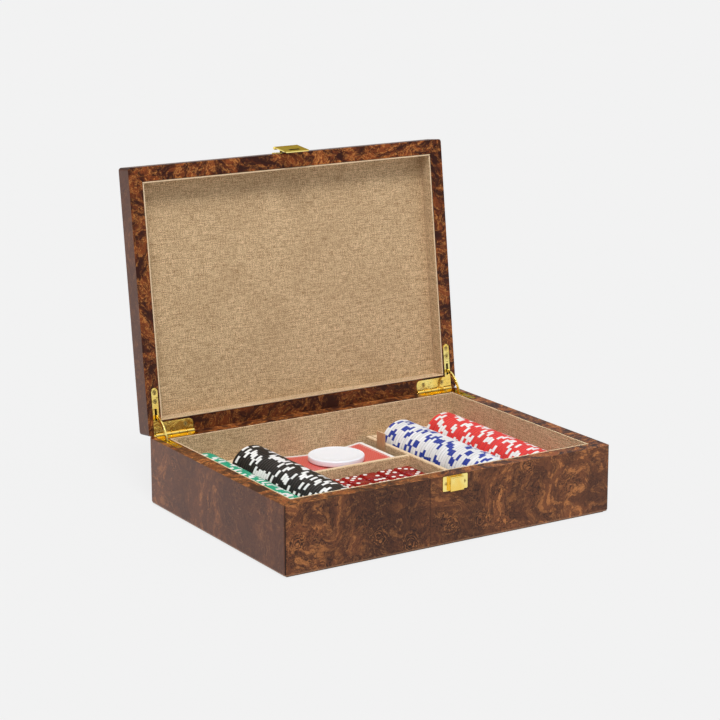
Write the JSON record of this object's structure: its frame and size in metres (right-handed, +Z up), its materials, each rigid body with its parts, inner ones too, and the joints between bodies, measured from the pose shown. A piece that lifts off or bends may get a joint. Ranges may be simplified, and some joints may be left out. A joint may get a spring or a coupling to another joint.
{
  "type": "poker set",
  "caption": "Hinged wooden box with linen wells that hold rows of chips, a deck of cards, a dealer button and dice.",
  "frame": {"origin": "middle of the box's underside, on the surface it stands on", "axes": "+X to the right along the front, +Y to the hinges, +Z up"},
  "size_m": [0.303, 0.2688, 0.2797],
  "materials": {
    "burl_veneer": "dark burl veneer under gloss lacquer",
    "bottom_board": "plain board",
    "felt": "felt",
    "linen": "plain woven linen over board",
    "brass": "polished",
    "chip_green": "fine edge ridges, white edge spots",
    "chip_black": "fine edge ridges, white edge spots",
    "chip_white": "fine edge ridges, blue edge spots",
    "chip_red": "fine edge ridges, white edge spots",
    "card_back": "coated card, red pattern with a white border",
    "button_white": "smooth",
    "dice_red": "clear dark red with white pips"
  },
  "bodies": {
    "base": {"base_wall_front": "burl_veneer", "base_lining_front": "linen", "base_wall_back": "burl_veneer", "base_lining_back": "linen", "base_wall_left": "burl_veneer", "base_lining_left": "linen", "base_wall_right": "burl_veneer", "base_lining_right": "linen", "base_felt": "felt", "base_bottom_panel": "bottom_board", "base_lining_floor": "linen", "cross_divider": "linen", "card_well_tab": "linen", "card_divider_left": "linen", "chip_divider_left": "linen", "ledge_left": "linen", "hinge_base_leaf_left": "brass", "hinge_pin_left": "brass", "card_divider_right": "linen", "chip_divider_right": "linen", "ledge_right": "linen", "hinge_base_leaf_right": "brass", "hinge_pin_right": "brass", "catch_keeper": "brass"},
    "lid": {"lid_wall_front": "burl_veneer", "lid_wall_back": "burl_veneer", "lid_wall_left": "burl_veneer", "lid_wall_right": "burl_veneer", "lid_top_panel": "burl_veneer", "lid_lining_panel": "linen", "lid_lining_front": "linen", "lid_lining_back": "linen", "lid_lining_left": "linen", "lid_lining_right": "linen", "hinge_lid_leaf_left": "brass", "hinge_lid_leaf_right": "brass", "catch_plate": "brass", "catch_pin": "brass"},
    "stay_left": {"hinge_stay_left": "brass"},
    "stay_right": {"hinge_stay_right": "brass"},
    "flap": {"catch_flap": "brass"},
    "row_green": {"chips_green": "chip_green"},
    "row_black": {"chips_black": "chip_black"},
    "row_white": {"chips_white": "chip_white"},
    "row_red": {"chips_red": "chip_red"},
    "deck": {"card_deck": "card_back"},
    "button": {"dealer_button": "button_white"},
    "die_1_1": {"die_1_1": "dice_red"},
    "die_1_2": {"die_1_2": "dice_red"},
    "die_1_3": {"die_1_3": "dice_red"},
    "die_1_4": {"die_1_4": "dice_red"},
    "die_1_5": {"die_1_5": "dice_red"},
    "die_2_1": {"die_2_1": "dice_red"},
    "die_2_2": {"die_2_2": "dice_red"},
    "die_2_3": {"die_2_3": "dice_red"},
    "die_2_4": {"die_2_4": "dice_red"},
    "die_2_5": {"die_2_5": "dice_red"}
  },
  "joints": [
    {"name": "lid_hinge", "type": "hinge", "parent": "base", "child": "lid", "pos_m": [0, 0.1098, 0.0567], "axis": [1, 0, 0], "range_deg": [0, 96.87]},
    {"name": "stay_left_turn", "type": "hinge", "parent": "base", "child": "stay_left", "pos_m": [0, 0.1098, 0.0567], "axis": [1, 0, 0], "range_deg": [0, 48.5]},
    {"name": "stay_right_turn", "type": "hinge", "parent": "base", "child": "stay_right", "pos_m": [0, 0.1098, 0.0567], "axis": [1, 0, 0], "range_deg": [0, 48.5]},
    {"name": "catch_flap_turn", "type": "hinge", "parent": "lid", "child": "flap", "pos_m": [0, 0.14066, 0.27689], "axis": [-1, 0, 0], "range_deg": [0, 12]},
    {"name": "chips_green_lift", "type": "slide", "parent": "base", "child": "row_green", "axis": [0, 0, -1], "range_m": [-0.055, 0]},
    {"name": "chips_black_lift", "type": "slide", "parent": "base", "child": "row_black", "axis": [0, 0, -1], "range_m": [-0.055, 0]},
    {"name": "chips_white_lift", "type": "slide", "parent": "base", "child": "row_white", "axis": [0, 0, -1], "range_m": [-0.055, 0]},
    {"name": "chips_red_lift", "type": "slide", "parent": "base", "child": "row_red", "axis": [0, 0, -1], "range_m": [-0.055, 0]},
    {"name": "deck_lift", "type": "slide", "parent": "base", "child": "deck", "axis": [0, 0, -1], "range_m": [-0.055, 0]},
    {"name": "button_lift", "type": "slide", "parent": "deck", "child": "button", "axis": [0, 0, -1], "range_m": [-0.055, 0]},
    {"name": "die_1_1_lift", "type": "slide", "parent": "base", "child": "die_1_1", "axis": [0, 0, -1], "range_m": [-0.055, 0]},
    {"name": "die_1_2_lift", "type": "slide", "parent": "base", "child": "die_1_2", "axis": [0, 0, -1], "range_m": [-0.055, 0]},
    {"name": "die_1_3_lift", "type": "slide", "parent": "base", "child": "die_1_3", "axis": [0, 0, -1], "range_m": [-0.055, 0]},
    {"name": "die_1_4_lift", "type": "slide", "parent": "base", "child": "die_1_4", "axis": [0, 0, -1], "range_m": [-0.055, 0]},
    {"name": "die_1_5_lift", "type": "slide", "parent": "base", "child": "die_1_5", "axis": [0, 0, -1], "range_m": [-0.055, 0]},
    {"name": "die_2_1_lift", "type": "slide", "parent": "base", "child": "die_2_1", "axis": [0, 0, -1], "range_m": [-0.055, 0]},
    {"name": "die_2_2_lift", "type": "slide", "parent": "base", "child": "die_2_2", "axis": [0, 0, -1], "range_m": [-0.055, 0]},
    {"name": "die_2_3_lift", "type": "slide", "parent": "base", "child": "die_2_3", "axis": [0, 0, -1], "range_m": [-0.055, 0]},
    {"name": "die_2_4_lift", "type": "slide", "parent": "base", "child": "die_2_4", "axis": [0, 0, -1], "range_m": [-0.055, 0]},
    {"name": "die_2_5_lift", "type": "slide", "parent": "base", "child": "die_2_5", "axis": [0, 0, -1], "range_m": [-0.055, 0]}
  ],
  "couplings": [
    {"joint": "stay_left_turn", "follows": "lid_hinge", "ratio": 0.5},
    {"joint": "stay_right_turn", "follows": "lid_hinge", "ratio": 0.5},
    {"joint": "catch_flap_turn", "follows": "lid_hinge", "ratio": 0.1238}
  ]
}
